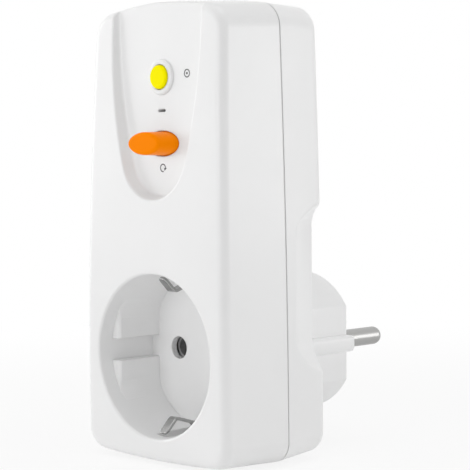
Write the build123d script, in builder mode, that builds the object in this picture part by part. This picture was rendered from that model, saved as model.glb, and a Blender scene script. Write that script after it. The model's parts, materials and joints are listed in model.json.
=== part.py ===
"""Residual current device adapter: plugs into a wall socket and carries a protected socket.

Millimetres. X points right as seen from the front, Z up, and the plug points along +Y.
The origin is the centre of the plug's end face. Levels through the depth of the body are
distances in front of that face, so a plane at a level is Plane.XZ.offset(level).
"""
from build123d import *
from math import atan2, cos, degrees, hypot, pi, sin, sqrt
import os

os.makedirs("parts", exist_ok=True)

# Household plug and socket
PIN_PITCH = 19.0
PIN_R = 2.4
PIN_LENGTH = 19.0
PIN_SHANK_R = 2.2
PIN_SHOULDER = 0.3
PIN_RECESS_CLEARANCE = 0.1
PLUG_R = 18.3
PLUG_LENGTH = 18.5
PLUG_FLAT_X = 15.5
PLUG_RIB_HALF = 2.1
PLUG_RIB_ROUND = 1.0
PLUG_EDGE = 0.8
WELL_R = 19.9
WELL_DEPTH = 17.7
WELL_DRAFT = 1.6
WELL_MOUTH_ROUND = 0.6
WELL_FLAT_X = 17.2
WELL_FLAT_HALF = 9.15
WELL_GROOVE_HALF = 2.8
WELL_FLAT_SETBACK = 4.2
WELL_FLAT_SLANT = 0.6
SOCKET_HOLE_R = 2.9

# Body outline at the seam
BODY_BOTTOM = -26.8
BODY_TOP = 88.3
BOTTOM_HALF = 26.4
TOP_HALF = 24.0
SIDE_BULGE = 0.6
BOTTOM_ARCH = 1.05
TOP_ARCH = 2.6
BOTTOM_CORNER = 5.5
TOP_CORNER = 6.5

# Body through its depth
REAR_DEPTH = 15.45
FRONT_DEPTH = 21.0
FACE_CREST_Z = 5.0
FACE_SETBACK = 2.6
FRONT_SIDE_DRAW = 0.65
FRONT_TOP_DRAW = 1.4
FRONT_BOTTOM_DRAW = 0.75
REAR_SIDE_DRAW = 1.5
REAR_TOP_DRAW = 0.4
REAR_BOTTOM_DRAW = 0.9
FACE_EDGE = 2.4
REAR_EDGE = 3.0
WALL = 2.2
SEAM_GAP = 0.25
TONGUE_INSET = 1.15
TONGUE_HEIGHT = 1.5
TONGUE_CLEARANCE = 0.05

# Panel recessed into the front face
RECESS_DEPTH = 4.05
RECESS_DRAFT = 13.0
RECESS_BEND_R = 10.9
RECESS_BEND_Z = 50.4
RECESS_FLARE = 17.0
RECESS_TOP_HALF = 15.6
RECESS_TOP_Z = 80.0
RECESS_EDGE = 0.5
RECESS_RIM_SPARE = 1.7
RECESS_FOOT = 0.8

# Controls on the panel
RESET_Z = 52.5
RESET_WIDTH = 11.8
RESET_HEIGHT = 5.9
RESET_PROUD = 6.5
RESET_DRAW = 0.15
RESET_ROUND = 0.9
RESET_TRAVEL = 2.5
RESET_STEM_R = 2.0
TEST_Z = 68.8
TEST_R = 2.9
TEST_PROUD = 1.5
TEST_ROUND = 0.5
TEST_TRAVEL = 1.3
TEST_STEM_R = 1.5
COLLAR_R = 4.4
COLLAR_HEIGHT = 0.75
COLLAR_ROUND = 0.5
FLAG_Z = 60.6
FLAG_SLOT_WIDTH = 2.7
FLAG_SLOT_HEIGHT = 0.65
BUTTON_CLEARANCE = 0.25
FLANGE_LIP = 1.3
FLANGE_THICKNESS = 1.1
GAP = 0.3

# Grip scoops beside the plug
SCOOP_TOP_Z = 31.4
SCOOP_BOTTOM_Z = 4.5
SCOOP_TOP_R = 7.1
SCOOP_BOTTOM_R = 13.1
SCOOP_LENGTH = 12.8
SCOOP_START_INSET = 0.1
SCOOP_DEPTH = 6.0
SCOOP_BEND_DEPTH = 4.66
SCOOP_BEND_RUN = 7.17
SCOOP_END_DEPTH = 6.87
SCOOP_END_RUN = 15.43
SCOOP_TURN = 80.0
SCOOP_RIM = 1.0

# Screws that hold the covers together
SCREW_R = 1.5
SCREW_HEAD_R = 2.8
SCREW_HEAD_HEIGHT = 2.0
SCREW_LENGTH = 20.0
SCREW_SINK = 2.6
SCREW_BOSS_R = 3.4
SCREW_CLEARANCE = 0.1
SCREW_BOTTOM_X = 19.2
SCREW_BOTTOM_Z = -18.9
SCREW_TOP_X = 17.0
SCREW_TOP_Z = 77.0
SCREW_CROSS = 0.7
SCREW_PILOT_SPARE = 1.0

# Strip, contacts and earth straps
STRIP = 0.8
STRIP_BEND = 1.3
PLUG_STRIP_BEND = 0.7
CLIP_WIDTH = 6.0
CLIP_CLEARANCE = 0.35
CLIP_Z = 20.3
CLIP_APEX_Z = 15.9
CLIP_APEX = 7.5
CLIP_END = 12.7
CLIP_REST = 3.0
CUP_WALL = 2.6
PLUG_CLIP_END = 2.6
RECEPTACLE_R = 3.3
RECEPTACLE_BORE_R = 2.5
RECEPTACLE_REACH = 18.0
RECEPTACLE_SLIT = 0.8
RECEPTACLE_SLIT_LENGTH = 8.5
PIN_TIP = 2.2
RIVET_R = 1.5
RIVET_HEAD_R = 2.2
RIVET_HEAD_HEIGHT = 0.6
EARTH_POST_R = 2.0
PIN_BOSS_R = 4.4
PIN_BOSS_LEVEL = 15.0

# Circuit board
BOARD_THICKNESS = 1.6
BOARD_STANDOFF = 2.3
UNDER_BOARD_GAP = 0.7
BOARD_HALF = 19.5
BOARD_LOW_HALF = 14.5
BOARD_TOP_HALF = 12.6
BOARD_BELOW_RING = 0.1
BOARD_STEP_Z = 42.0
BOARD_NOTCH_Z = 72.5
BOARD_TOP = 81.0
POST_R = 2.5
LOW_POST_X = 11.5
LOW_POST_RISE = 3.4
SIDE_POST_X = 16.5
SIDE_POST_RISE = 3.5
TOP_POST_X = 10.0
POST_PIN_R = 1.0
POST_PIN_CLEARANCE = 0.1

# Sensing ring and conductors
RING_BELOW_YOKE = 2.7
RING_R = 8.5
RING_BORE_R = 4.3
RING_HEIGHT = 4.4
WINDING_THICKNESS = 0.7
WINDING_TURNS = 24
CASE_WALL = 1.2
CONDUCTOR_X = 2.0
CONDUCTOR_WIDTH = 2.4
LEG_X = 6.0
LEG_Z = 12.5
BAR_WIDTH = 3.2
FOOT_WIDTH = 2.0
BAR_OUTER_X = 17.6
BAR_BEND_Z = 27.0
BAR_LOW_Z = 14.0

# Contact mechanism
CONTACT_X = 12.5
CONTACT_SPAN = 13.6
CONTACT_R = 1.6
CONTACT_HEIGHT = 0.8
BRIDGE_WIDTH = 4.0
BRIDGE_THICKNESS = 1.0
COIL_R = 6.2
BOBBIN_R = 6.6
BOBBIN_CORE_R = 3.5
BOBBIN_BORE_R = 2.75
BOBBIN_FLANGE = 1.0
BOBBIN_HEIGHT = 7.0
YOKE_THICKNESS = 1.0
YOKE_WIDTH = 10.0
PLUNGER_R = 2.4
PLUNGER_END_GAP = 0.4
PLUNGER_CHAMFER = 0.4
HUB_R = 5.5
HUB_POCKET_R = 4.3
HUB_POCKET_DEPTH = 3.2
HUB_TOP = 1.2
ARM_HALF = 2.6
ARM_THICKNESS = 2.0
FRAME_INSIDE = 7.5
FRAME_WALL = 1.2
FRAME_HALF = 8.0
FRAME_NECK_HALF = 5.5
FRAME_TOP = 73.5
MECHANISM_GAP = 0.5
ARM_CLEARANCE = 0.5
YOKE_HALF = 8.0
FLAG_POST_WIDTH = 3.0
FLAG_POST_HEIGHT = 1.4
FLAG_WIDTH = 4.4
FLAG_HEIGHT = 2.6
FLAG_THICKNESS = 1.0
LEAF_THICKNESS = 0.3
LEAF_WIDTH = 3.0
LEAF_FOOT_Z = 76.0
LEAF_TIP_Z = 65.8
TERMINAL_R = 0.9

# Small parts on the board
VARISTOR_X = 14.5
VARISTOR_RISE = 8.2
VARISTOR_R = 4.5
VARISTOR_THICKNESS = 3.5
VARISTOR_ROUND = 0.8
LEAD_R = 0.4
LEAD_LENGTH = 1.5
LEAD_PITCH = 5.0
CAPACITOR_WIDTH = 8.0
CAPACITOR_HEIGHT = 5.5
CAPACITOR_DEPTH = 10.0
CAPACITOR_ROUND = 0.5
RESISTOR_R = 0.9
RESISTOR_LENGTH = 5.0
RESISTOR_PLACES = ((-10.9, 36.5), (-13.1, 36.5), (-12.0, 52.0))
CHIP_X = 12.0
CHIP_Z = 35.0
CHIP_WIDTH = 2.8
CHIP_LENGTH = 5.0
CHIP_DEPTH = 1.4
CHIP_LEG = 0.6
CHIP_LEG_PITCH = 1.6

# Springs
RESET_SPRING_R = 3.0
RESET_SPRING_WIRE = 0.5
RESET_SPRING_TURNS = 3
TEST_SPRING_R = 2.4
TEST_SPRING_WIRE = 0.4
TEST_SPRING_TURNS = 4
CARRIER_SPRING_R = 3.4
CARRIER_SPRING_WIRE = 0.6
CARRIER_SPRING_TURNS = 3

# Levels, as distances in front of the plug's end face
REAR = PLUG_LENGTH
SEAM = REAR + REAR_DEPTH
FACE = SEAM + FRONT_DEPTH
WELL_FLOOR = FACE - WELL_DEPTH
CUP_BACK = WELL_FLOOR - WALL
RECESS_FLOOR = FACE - RECESS_DEPTH
PANEL_BACK = RECESS_FLOOR - WALL
REAR_INSIDE = REAR + WALL
BOARD_BACK = REAR_INSIDE + BOARD_STANDOFF
BOARD_FRONT = BOARD_BACK + BOARD_THICKNESS
FLANGE_FRONT = PANEL_BACK - GAP
FLANGE_BACK = FLANGE_FRONT - FLANGE_THICKNESS
YOKE_BACK = BOARD_FRONT + BOBBIN_HEIGHT
YOKE_TOP = YOKE_BACK + YOKE_THICKNESS
HUB_BACK = YOKE_TOP + RESET_TRAVEL + MECHANISM_GAP
HUB_FRONT = HUB_BACK + HUB_POCKET_DEPTH + HUB_TOP
PLATE_BACK = HUB_FRONT + MECHANISM_GAP
PLATE_FRONT = PLATE_BACK + FRAME_WALL
BRIDGE_BACK = HUB_BACK - BRIDGE_THICKNESS
BAR_FRONT = BRIDGE_BACK - 2 * CONTACT_HEIGHT - RESET_TRAVEL - GAP
BAR_BACK = BAR_FRONT - STRIP
UNDER_BOARD = BOARD_BACK - UNDER_BOARD_GAP - STRIP
TEST_STEM_BACK = HUB_FRONT - HUB_TOP
LEAF_FRONT = TEST_STEM_BACK - TEST_TRAVEL - GAP
PLUNGER_BACK = BOARD_FRONT + RESET_TRAVEL + PLUNGER_END_GAP
FLAG_BACK = FLANGE_FRONT - FLAG_THICKNESS
RECEPTACLE_BACK = WELL_FLOOR - RECEPTACLE_REACH
RECEPTACLE_FRONT = CUP_BACK - GAP
SCREW_HEAD_LEVEL = REAR + SCREW_SINK
LOW_CONTACT_Z = RESET_Z - CONTACT_SPAN / 2
HIGH_CONTACT_Z = RESET_Z + CONTACT_SPAN / 2
RING_Z = RESET_Z - YOKE_HALF - RING_BELOW_YOKE - RING_R
BOARD_BOTTOM = RING_Z - RING_R - BOARD_BELOW_RING
VARISTOR_Z = HIGH_CONTACT_Z + VARISTOR_RISE

# Places of what stands on both sides
SIDES = {"left": -1, "right": 1}
PIN_X = PIN_PITCH / 2
PIN_PLACES = [(side * PIN_X, 0) for side in SIDES.values()]
SCREW_PLACES = [
    (side * x, z)
    for side in SIDES.values()
    for x, z in ((SCREW_BOTTOM_X, SCREW_BOTTOM_Z), (SCREW_TOP_X, SCREW_TOP_Z))
]
HALF_POSTS = [
    (LOW_POST_X, BOARD_BOTTOM + LOW_POST_RISE),
    (SIDE_POST_X, BOARD_STEP_Z + SIDE_POST_RISE),
    (TOP_POST_X, BOARD_TOP - POST_R),
]
POST_PLACES = [(side * x, z) for side in SIDES.values() for x, z in HALF_POSTS]
HALF_TURN = 180.0
TIGHT = 0.01


def at(level):
    """Plane at a level through the depth, facing forwards."""
    return Plane.XZ.offset(level)


def discs(level, radius, places):
    """Circles of one radius on the plane of a level."""
    with BuildSketch(at(level)) as sketch:
        with Locations(*places):
            Circle(radius)
    return sketch.sketch


def blocks(level, width, height, places):
    """Rectangles of one size on the plane of a level."""
    with BuildSketch(at(level)) as sketch:
        with Locations(*places):
            Rectangle(width, height)
    return sketch.sketch


def bar(level, width, route):
    """Flat conductor on the plane of a level: a band along a route, with round ends and corners."""
    with BuildSketch(at(level)) as sketch:
        for (start_x, start_z), (end_x, end_z) in zip(route, route[1:]):
            run, rise = end_x - start_x, end_z - start_z
            middle = ((start_x + end_x) / 2, (start_z + end_z) / 2, 0)
            with Locations(Location(middle, (0, 0, degrees(atan2(rise, run))))):
                SlotCenterToCenter(hypot(run, rise), width)
    return sketch.sketch


def strip(route, bend=STRIP_BEND, thickness=STRIP):
    """Side view of a bent strip whose middle line follows a route."""
    with BuildSketch(Plane.YZ) as sketch:
        with BuildLine():
            FilletPolyline(*route, radius=bend)
        trace(line_width=thickness)
    return sketch.sketch


def ring(inset):
    """Section of the sensing ring, moved inwards by inset on all sides."""
    with BuildSketch(at(BOARD_FRONT + inset)) as sketch:
        with Locations((0, RING_Z)):
            Circle(RING_R - inset)
            Circle(RING_BORE_R + inset, mode=Mode.SUBTRACT)
    return sketch.sketch


def coil_points(radius, wire, turns, back, front, z):
    """Points and ways of an open coil's middle line, four to the turn, round an axis along Y."""
    rise = (front - back - wire) / (4 * turns)
    points, ways = [], []
    for step in range(4 * turns + 1):
        angle = step * pi / 2
        points.append(Vector(radius * cos(angle), -(back + wire / 2 + rise * step), z + radius * sin(angle)))
        ways.append(Vector(-radius * sin(angle), -rise * 2 / pi, radius * cos(angle)).normalized())
    return points, ways


def biarc(start, end, start_way, end_way):
    """Two arcs that meet smoothly between two points and leave and arrive in given ways."""
    chord = end - start
    both = start_way + end_way
    spread = 2 * (1 - start_way.dot(end_way))
    along = chord.dot(both)
    reach = (sqrt(along**2 + spread * chord.dot(chord)) - along) / spread
    joint = (start + end + (start_way - end_way) * reach) * 0.5
    way = (joint - start).normalized()
    TangentArc(start, joint, tangent=start_way)
    TangentArc(joint, end, tangent=way * (2 * start_way.dot(way)) - start_way)


def least_gap(points, wire):
    """Least distance between neighbouring turns of a coil, from the points one turn apart."""
    return min((after - before).length for before, after in zip(points, points[4:])) - wire


def body_outline(plane, inset=0.0, side_draw=0.0, top_draw=0.0, bottom_draw=0.0):
    """Outline of the body on a plane, moved inwards by inset and by what the body narrows to there."""
    low, high = BODY_BOTTOM + inset + bottom_draw, BODY_TOP - inset - top_draw
    low_half, high_half = BOTTOM_HALF - inset - side_draw, TOP_HALF - inset - side_draw
    low_corner, high_corner = low + BOTTOM_ARCH, high - TOP_ARCH
    middle = ((low_half + high_half) / 2 + SIDE_BULGE, (low_corner + high_corner) / 2)
    with BuildSketch(plane) as outline:
        with BuildLine():
            ThreePointArc((-low_half, low_corner), (0, low), (low_half, low_corner))
            ThreePointArc((low_half, low_corner), middle, (high_half, high_corner))
            ThreePointArc((high_half, high_corner), (0, high), (-high_half, high_corner))
            ThreePointArc((-high_half, high_corner), (-middle[0], middle[1]), (-low_half, low_corner))
        make_face()
        fillet(outline.vertices().group_by(Axis.Y)[0], BOTTOM_CORNER - inset)
        fillet(outline.vertices().group_by(Axis.Y)[-1], TOP_CORNER - inset)
    return outline.sketch


def face_level(z, inset=0.0):
    """Level of the front face at height z. The face is one long arc, foremost at its crest."""
    rise = BODY_TOP - FACE_CREST_Z
    radius = (rise**2 + FACE_SETBACK**2) / (2 * FACE_SETBACK) - inset
    return FACE - inset - radius + sqrt(radius**2 - (z - FACE_CREST_Z) ** 2)


def front_form(inset):
    """Front half of the body as a solid, with its faces moved inwards by inset."""
    low, high = BODY_BOTTOM - WALL, BODY_TOP + WALL
    with BuildPart() as form:
        back_end = body_outline(at(SEAM + SEAM_GAP), inset)
        front_end = body_outline(at(FACE), inset, FRONT_SIDE_DRAW, FRONT_TOP_DRAW, FRONT_BOTTOM_DRAW)
        loft([back_end.face(), front_end.face()], ruled=True)
        with BuildSketch(Plane.YZ):
            with BuildLine():
                ThreePointArc(
                    (-face_level(low, inset), low),
                    (-face_level(FACE_CREST_Z, inset), FACE_CREST_Z),
                    (-face_level(high, inset), high),
                )
                Polyline(
                    (-face_level(high, inset), high),
                    (-SEAM, high),
                    (-SEAM, low),
                    (-face_level(low, inset), low),
                )
            make_face()
        extrude(amount=BOTTOM_HALF + WALL, both=True, mode=Mode.INTERSECT)
    return form.part


def rear_form(inset):
    """Rear half of the body as a solid, with its faces moved inwards by inset."""
    share = 1 - inset / REAR_DEPTH
    with BuildPart() as form:
        front_end = body_outline(at(SEAM), inset)
        draws = [share * draw for draw in (REAR_SIDE_DRAW, REAR_TOP_DRAW, REAR_BOTTOM_DRAW)]
        back_end = body_outline(at(REAR + inset), inset, *draws)
        loft([front_end.face(), back_end.face()], ruled=True)
        fillet(form.faces().sort_by(Axis.Y)[-1].edges(), REAR_EDGE - inset)
    return form.part


def recess_outline(plane, grow=0.0):
    """Outline of the panel at its floor: a round bend below, and sides that flare upwards."""
    bend_start = HALF_TURN + RECESS_FLARE
    bend_r = RECESS_BEND_R + grow
    top_half = RECESS_TOP_HALF + grow
    over = BODY_TOP + 4 * WALL
    with BuildSketch(plane) as outline:
        with BuildLine():
            bend = CenterArc((0, RECESS_BEND_Z), bend_r, bend_start, HALF_TURN - 2 * RECESS_FLARE)
            right = TangentArc(bend @ 1, (top_half, RECESS_TOP_Z), tangent=bend % 1)
            left = TangentArc(bend @ 0, (-top_half, RECESS_TOP_Z), tangent=-(bend % 0))
            Polyline(right @ 1, (top_half, over), (-top_half, over), left @ 1)
        make_face()
    return outline.sketch


def panel_cutter():
    """Cutter for the recessed panel, round at its foot."""
    with BuildPart() as cutter:
        extrude(recess_outline(at(RECESS_FLOOR)), amount=2 * RECESS_DEPTH, taper=-RECESS_DRAFT)
        fillet(cutter.faces().sort_by(Axis.Y)[-1].edges(), RECESS_FOOT)
    return cutter.part


def front_hollow():
    """Inside of the front cover: leaves the panel's back, the socket's cup and the screw bosses."""
    with BuildPart() as hollow:
        add(front_form(WALL))
        panel = recess_outline(at(PANEL_BACK), WALL)
        extrude(panel, amount=RECESS_DEPTH + WALL, taper=-RECESS_DRAFT, mode=Mode.SUBTRACT)
        with BuildSketch(at(CUP_BACK)):
            Circle(WELL_R + CUP_WALL)
        extrude(amount=WELL_DEPTH + WALL, mode=Mode.SUBTRACT)
        extrude(discs(SEAM + SEAM_GAP, SCREW_BOSS_R, SCREW_PLACES), amount=FRONT_DEPTH, mode=Mode.SUBTRACT)
    return hollow.part


def from_middle(edge):
    """Distance of an edge from the middle plane."""
    return abs(edge.center().X)


def well_flats():
    """Flats on both sides of the socket's well, with slanted front ends and a groove in each."""
    with BuildPart() as flats:
        with BuildSketch(at(WELL_FLOOR - WALL / 2)):
            Circle(WELL_R + CUP_WALL / 2)
            Rectangle(4 * WELL_R, 2 * WELL_FLAT_HALF, mode=Mode.INTERSECT)
            Rectangle(2 * WELL_FLAT_X, 4 * WELL_R, mode=Mode.SUBTRACT)
        extrude(amount=WELL_DEPTH - WELL_FLAT_SETBACK + WALL / 2)
        front_ends = flats.faces().filter_by(Axis.Y).group_by(Axis.Y)[0]
        chamfer(
            [face.edges().filter_by(Axis.Z).sort_by(from_middle)[0] for face in front_ends],
            length=WELL_FLAT_SLANT,
        )
        with BuildSketch(at(WELL_FLOOR)):
            Rectangle(4 * WELL_R, 2 * WELL_GROOVE_HALF)
        extrude(amount=WELL_DEPTH, mode=Mode.SUBTRACT)
    return flats.part


def scoop_section(z, limit, grow):
    """Section of the right-hand grip scoop at height z: one curve that deepens towards the rear."""
    edge_x = BOTTOM_HALF - SCOOP_START_INSET - grow
    start = -(REAR + SCOOP_LENGTH)
    slope = SCOOP_BEND_DEPTH / SCOOP_BEND_RUN
    end = (edge_x - SCOOP_END_DEPTH, start + SCOOP_END_RUN)
    with BuildSketch(Plane.XY.offset(z)) as section:
        with BuildLine():
            Bezier((edge_x, start), (edge_x - SCOOP_BEND_DEPTH, start + SCOOP_BEND_RUN), end)
            Polyline(end, (limit, end[1]), (limit, start - (limit - edge_x) / slope), (edge_x, start))
        make_face()
    return section.sketch


def scoop(grow):
    """Cutter for the right-hand grip scoop, deeper by grow. Both of its ends turn outwards."""
    inside = BOTTOM_HALF - SCOOP_START_INSET - SCOOP_DEPTH
    with BuildPart() as cutter:
        low_section = scoop_section(SCOOP_BOTTOM_Z, inside + SCOOP_BOTTOM_R, grow)
        extrude(low_section, amount=SCOOP_TOP_Z - SCOOP_BOTTOM_Z)
        bottom_axis = Axis((inside + SCOOP_BOTTOM_R, 0, SCOOP_BOTTOM_Z), (0, -1, 0))
        revolve(low_section, axis=bottom_axis, revolution_arc=SCOOP_TURN)
        top_section = scoop_section(SCOOP_TOP_Z, inside + SCOOP_TOP_R, grow)
        top_axis = Axis((inside + SCOOP_TOP_R, 0, SCOOP_TOP_Z), (0, 1, 0))
        revolve(top_section, axis=top_axis, revolution_arc=SCOOP_TURN)
    return cutter.part


def rear_hollow():
    """Inside of the rear cover and of the plug's body."""
    with BuildPart() as hollow:
        add(rear_form(WALL))
        add(scoop(WALL), mode=Mode.SUBTRACT)
        add(mirror(scoop(WALL), about=Plane.YZ, mode=Mode.PRIVATE), mode=Mode.SUBTRACT)
        with BuildSketch(at(WALL)):
            Circle(PLUG_R - WALL)
            Rectangle(2 * (PLUG_FLAT_X - WALL), 2 * PLUG_R, mode=Mode.INTERSECT)
        extrude(amount=REAR)
    return hollow.part


def plug_section():
    """Section of the plug's body: round, with a flat on each side and a guide rib on each flat."""
    with BuildSketch() as section:
        Rectangle(2 * PLUG_FLAT_X, 2 * PLUG_R)
        Rectangle(2 * PLUG_R, 2 * PLUG_RIB_HALF)
        Circle(PLUG_R, mode=Mode.INTERSECT)
        by_side = section.vertices().group_by(Axis.X)
        fillet(by_side[0] + by_side[-1], PLUG_RIB_ROUND)
    return section.sketch


def reset_oval(level, grow):
    """Outline of the reset button at a level, larger all round by grow."""
    with BuildSketch(at(level)) as oval:
        with Locations((0, RESET_Z)):
            Ellipse(RESET_WIDTH / 2 + grow, RESET_HEIGHT / 2 + grow)
    return oval.sketch


def in_panel(edge):
    """Whether an edge lies on the rim of the recessed panel."""
    place = edge.center()
    low = RECESS_BEND_Z - RECESS_BEND_R - RECESS_RIM_SPARE
    return abs(place.X) < RECESS_TOP_HALF + RECESS_RIM_SPARE and place.Z > low


def on_collar(edge):
    """Whether a round edge is the front end of the test button's collar."""
    return abs(edge.radius - COLLAR_R) < TIGHT and edge.center().Y < -RECESS_FLOOR - TIGHT


def on_scoop_rim(edge):
    """Whether an edge is where a grip scoop meets the side or the rear of the body."""
    box = edge.bounding_box()
    low, high = SCOOP_BOTTOM_Z - SCOOP_BOTTOM_R, SCOOP_TOP_Z + SCOOP_TOP_R
    return low < box.min.Z and box.max.Z < high and edge.geom_type != GeomType.BEZIER


def closed(edge):
    """Whether an edge is a closed loop, as the mouth of the well is."""
    return edge.is_closed


def edges_on_face(cover, wanted):
    """Edges of the front face for which wanted is true. Its inner side is as large, but further back."""
    largest = cover.faces().filter_by(GeomType.CYLINDER).sort_by(SortBy.AREA)[-2:]
    return largest.sort_by(Axis.Y)[0].edges().filter_by(wanted)


# Front cover: shell, recessed panel and the socket's well in one moulding
with BuildPart() as front_cover:
    add(front_form(0))
    fillet(front_cover.faces().sort_by(Axis.Y)[0].edges(), FACE_EDGE)
    # Well of the socket
    with BuildSketch(at(WELL_FLOOR)):
        Circle(WELL_R)
    extrude(amount=WELL_DEPTH + WALL, taper=-WELL_DRAFT, mode=Mode.SUBTRACT)
    fillet(edges_on_face(front_cover, closed), WELL_MOUTH_ROUND)
    add(front_hollow(), mode=Mode.SUBTRACT)
    add(well_flats())
    # Rebate that takes the rear cover's tongue
    rebate = body_outline(at(SEAM), TONGUE_INSET - TONGUE_CLEARANCE)
    extrude(rebate, amount=TONGUE_HEIGHT, mode=Mode.SUBTRACT)
    # Recessed panel
    add(panel_cutter(), mode=Mode.SUBTRACT)
    fillet(edges_on_face(front_cover, in_panel), RECESS_EDGE)
    # Collar round the test button
    with BuildSketch(at(RECESS_FLOOR)):
        with Locations((0, TEST_Z)):
            Circle(COLLAR_R)
    extrude(amount=COLLAR_HEIGHT)
    fillet(front_cover.edges().filter_by(GeomType.CIRCLE).filter_by(on_collar), COLLAR_ROUND)
    # Openings for both buttons and the flag
    with BuildSketch(at(PANEL_BACK - WALL)):
        with Locations((0, RESET_Z)):
            Ellipse(RESET_WIDTH / 2 + BUTTON_CLEARANCE, RESET_HEIGHT / 2 + BUTTON_CLEARANCE)
        with Locations((0, TEST_Z)):
            Circle(TEST_R + BUTTON_CLEARANCE)
        with Locations((0, FLAG_Z)):
            SlotOverall(FLAG_SLOT_WIDTH, FLAG_SLOT_HEIGHT)
    extrude(amount=4 * WALL, mode=Mode.SUBTRACT)
    # Holes for the pins of a plug, and slots for the earth clips
    extrude(discs(CUP_BACK, SOCKET_HOLE_R, PIN_PLACES), amount=WALL, mode=Mode.SUBTRACT)
    slot_width = CLIP_WIDTH + 2 * CLIP_CLEARANCE
    clip_slots = blocks(CUP_BACK, slot_width, STRIP + 2 * CLIP_CLEARANCE, [(0, CLIP_Z), (0, -CLIP_Z)])
    extrude(clip_slots, amount=WALL + CLIP_END + STRIP, mode=Mode.SUBTRACT)
    # Pilot holes for the screws
    pilot_depth = SCREW_HEAD_LEVEL + SCREW_LENGTH + SCREW_PILOT_SPARE - SEAM
    extrude(discs(SEAM, SCREW_R + SCREW_CLEARANCE, SCREW_PLACES), amount=pilot_depth, mode=Mode.SUBTRACT)
front_cover.part.label = "front_cover"
export_step(front_cover.part, "parts/front_cover.step")

# Rear cover: shell with two grip scoops, and the plug's body
with BuildPart() as rear_cover:
    add(rear_form(0))
    add(scoop(0), mode=Mode.SUBTRACT)
    add(mirror(scoop(0), about=Plane.YZ, mode=Mode.PRIVATE), mode=Mode.SUBTRACT)
    fillet(rear_cover.edges().filter_by(on_scoop_rim), SCOOP_RIM)
    with BuildSketch(Plane.XZ):
        add(plug_section())
    extrude(amount=REAR + WALL / 2)
    plug_end = rear_cover.faces().sort_by(Axis.Y)[-1]
    fillet(plug_end.edges(), PLUG_EDGE)
    add(rear_hollow(), mode=Mode.SUBTRACT)
    # Tongue that enters the front cover
    extrude(body_outline(at(SEAM - WALL), TONGUE_INSET), amount=WALL + TONGUE_HEIGHT)
    extrude(body_outline(at(SEAM - WALL), WALL), amount=WALL + TONGUE_HEIGHT, mode=Mode.SUBTRACT)
    # Screw bosses with their counterbores
    boss_root = REAR_INSIDE - WALL / 2
    extrude(discs(boss_root, SCREW_BOSS_R, SCREW_PLACES), amount=SEAM + SEAM_GAP - boss_root)
    counterbores = discs(REAR, SCREW_HEAD_R + SCREW_CLEARANCE, SCREW_PLACES)
    extrude(counterbores, amount=SCREW_SINK, mode=Mode.SUBTRACT)
    screw_holes = discs(REAR, SCREW_R + SCREW_CLEARANCE, SCREW_PLACES)
    extrude(screw_holes, amount=REAR_DEPTH + WALL, mode=Mode.SUBTRACT)
    # Posts that carry the circuit board
    extrude(discs(boss_root, POST_R, POST_PLACES), amount=BOARD_BACK - boss_root)
    extrude(discs(BOARD_BACK, POST_PIN_R, POST_PLACES), amount=BOARD_THICKNESS + GAP)
    # Bosses that hold the pins, and the pins' holes with a shallow recess round each pin
    extrude(discs(WALL, PIN_BOSS_R, PIN_PLACES), amount=PIN_BOSS_LEVEL - WALL)
    extrude(discs(0, PIN_SHANK_R, PIN_PLACES), amount=PIN_BOSS_LEVEL, mode=Mode.SUBTRACT)
    extrude(discs(0, PIN_R + PIN_RECESS_CLEARANCE, PIN_PLACES), amount=PIN_SHOULDER, mode=Mode.SUBTRACT)
    # Grooves for the plug's earth contacts
    groove_end = PLUG_CLIP_END - CLIP_CLEARANCE
    groove_height = 2 * (STRIP + CLIP_CLEARANCE)
    grooves = blocks(groove_end, CLIP_WIDTH + 2 * CLIP_CLEARANCE, groove_height, [(0, PLUG_R), (0, -PLUG_R)])
    extrude(grooves, amount=REAR_INSIDE - groove_end, mode=Mode.SUBTRACT)
rear_cover.part.label = "rear_cover"
export_step(rear_cover.part, "parts/rear_cover.step")

# Four screws that hold the covers together, put in from the rear
with BuildPart() as housing_screws:
    head_outlines = discs(SCREW_HEAD_LEVEL - SCREW_HEAD_HEIGHT, SCREW_HEAD_R, SCREW_PLACES)
    extrude(head_outlines, amount=SCREW_HEAD_HEIGHT)
    extrude(discs(SCREW_HEAD_LEVEL, SCREW_R, SCREW_PLACES), amount=SCREW_LENGTH)
    with BuildSketch(at(SCREW_HEAD_LEVEL - SCREW_HEAD_HEIGHT)):
        with Locations(*SCREW_PLACES):
            Rectangle(2 * SCREW_R, SCREW_CROSS)
            Rectangle(SCREW_CROSS, 2 * SCREW_R)
    extrude(amount=SCREW_HEAD_HEIGHT / 2, mode=Mode.SUBTRACT)
housing_screws.part.label = "housing_screws"
export_step(housing_screws.part, "parts/housing_screws.step")

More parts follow.
